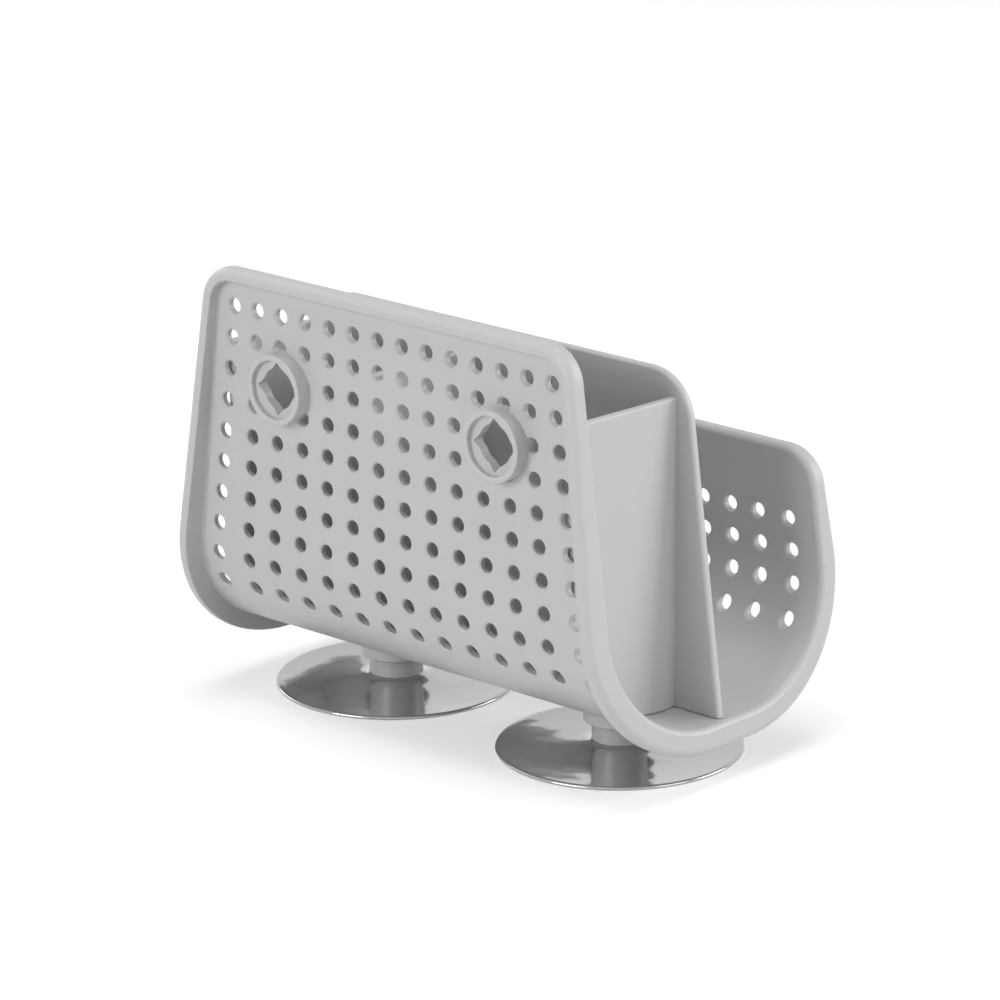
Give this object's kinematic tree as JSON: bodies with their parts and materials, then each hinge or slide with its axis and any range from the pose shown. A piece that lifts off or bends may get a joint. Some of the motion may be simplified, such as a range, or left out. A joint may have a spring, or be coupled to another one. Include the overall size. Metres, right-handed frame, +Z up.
{
  "type": "kitchen sink caddy",
  "caption": "Perforated U-shaped sink caddy with a flared lip, a lift-out divider with cross walls, ring sockets on its back and suction cups snapped in under its floor.",
  "frame": {"origin": "on the ground below the middle of the tray, level with the rims of the suction discs", "axes": "+X along the length, +Y towards the high perforated back, +Z up"},
  "size_m": [0.1618, 0.1002, 0.1262],
  "materials": {
    "tray_plastic": "satin",
    "divider_plastic": "satin",
    "plug_plastic": "gloss",
    "disc_rubber": "gloss"
  },
  "bodies": {
    "tray": {"tray": "tray_plastic"},
    "divider": {"divider": "divider_plastic"},
    "left_cup": {"left_plug": "plug_plastic", "left_disc": "disc_rubber"},
    "right_cup": {"right_plug": "plug_plastic", "right_disc": "disc_rubber"}
  },
  "joints": [
    {"name": "divider_lift", "type": "slide", "parent": "tray", "child": "divider", "axis": [0, 0, 1], "range_m": [0, 0.112]},
    {"name": "left_cup_turn", "type": "hinge", "parent": "tray", "child": "left_cup", "pos_m": [-0.0417, 0, 0.0124], "axis": [0, 0, 1], "continuous": true},
    {"name": "right_cup_turn", "type": "hinge", "parent": "tray", "child": "right_cup", "pos_m": [0.0417, 0, 0.0124], "axis": [0, 0, 1], "continuous": true}
  ]
}
